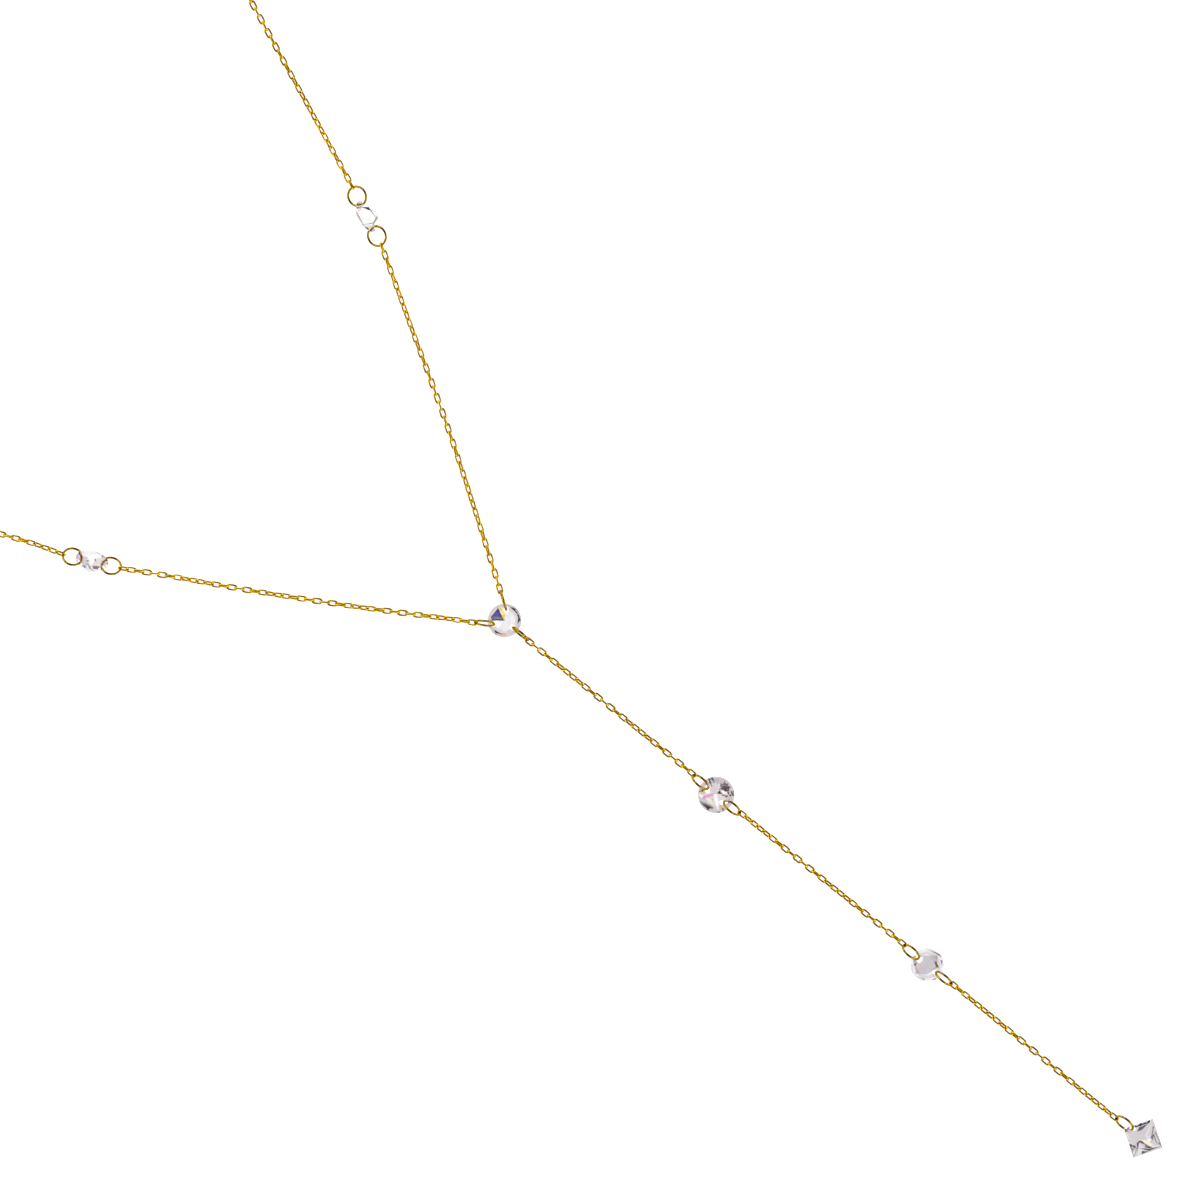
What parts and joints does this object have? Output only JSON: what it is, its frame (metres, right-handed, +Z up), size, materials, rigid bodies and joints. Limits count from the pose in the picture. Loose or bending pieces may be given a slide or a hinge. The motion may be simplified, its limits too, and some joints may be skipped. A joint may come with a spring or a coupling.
{
  "type": "y necklace",
  "caption": "Y necklace of fine gold-coloured cable chain with clear round faceted stones on jump rings and a square stone at the end of the drop, lying flat.",
  "frame": {"origin": "on the surface the necklace lies on, under the middle of the stone where the three strands meet (the middle of that stone's table)", "axes": "+Z up, away from the surface; -Y along the drop to the square stone; +Y up the neck loop to the clasp; +X to the right arm, seen from above with the drop pointing down"},
  "size_m": [0.1108, 0.2973, 0.0042],
  "materials": {
    "gold": "polished",
    "stones": "polished"
  },
  "bodies": {
    "root": {"y_stone": "stones", "side_stone_left": "stones", "side_stone_right": "stones", "drop_stone_1": "stones", "drop_stone_2": "stones", "square_stone": "stones", "y_ring_left": "gold", "y_ring_right": "gold", "y_ring_drop": "gold", "side_left_ring_front": "gold", "side_left_ring_back": "gold", "side_right_ring_front": "gold", "side_right_ring_back": "gold", "drop_1_ring_top": "gold", "drop_1_ring_bottom": "gold", "drop_2_ring_top": "gold", "drop_2_ring_bottom": "gold", "square_ring": "gold", "front_chain_left": "gold", "front_chain_right": "gold", "back_chain_left": "gold", "back_chain_right": "gold", "drop_chain_1": "gold", "drop_chain_2": "gold", "drop_chain_3": "gold", "clasp": "gold", "clasp_ring_left": "gold", "clasp_ring_right": "gold"}
  },
  "joints": []
}
